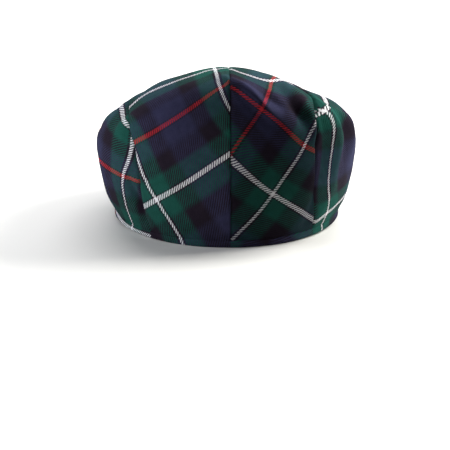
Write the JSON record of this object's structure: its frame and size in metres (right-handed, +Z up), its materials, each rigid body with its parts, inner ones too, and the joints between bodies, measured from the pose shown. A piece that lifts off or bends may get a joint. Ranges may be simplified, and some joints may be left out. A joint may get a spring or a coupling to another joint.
{
  "type": "flat cap",
  "caption": "Tartan wool flat cap with gored crown panels, a narrow hem band, a stiffened peak and a covered button.",
  "frame": {"origin": "centre of the head opening, on the plane that the cap rests on", "axes": "+Z up out of the crown, -Y towards the peak, +Y towards the back, +X towards the wearer's left"},
  "size_m": [0.1814, 0.2631, 0.1162],
  "materials": {
    "crown_wool": "brushed tartan wool twill in navy, bottle green and black with white and red overchecks",
    "hem_wool": "the same tartan wool twill, turned and pressed",
    "peak_wool": "the same tartan wool twill over a stiff board",
    "button_wool": "the same tartan wool twill over a small button"
  },
  "bodies": {
    "root": {"panel_rear_left": "crown_wool", "panel_side_rear_left": "crown_wool", "panel_side_fore_left": "crown_wool", "panel_front_left": "crown_wool", "panel_front_right": "crown_wool", "panel_side_fore_right": "crown_wool", "panel_side_rear_right": "crown_wool", "panel_rear_right": "crown_wool", "hem_band": "hem_wool", "peak": "peak_wool", "covered_button": "button_wool"}
  },
  "joints": []
}
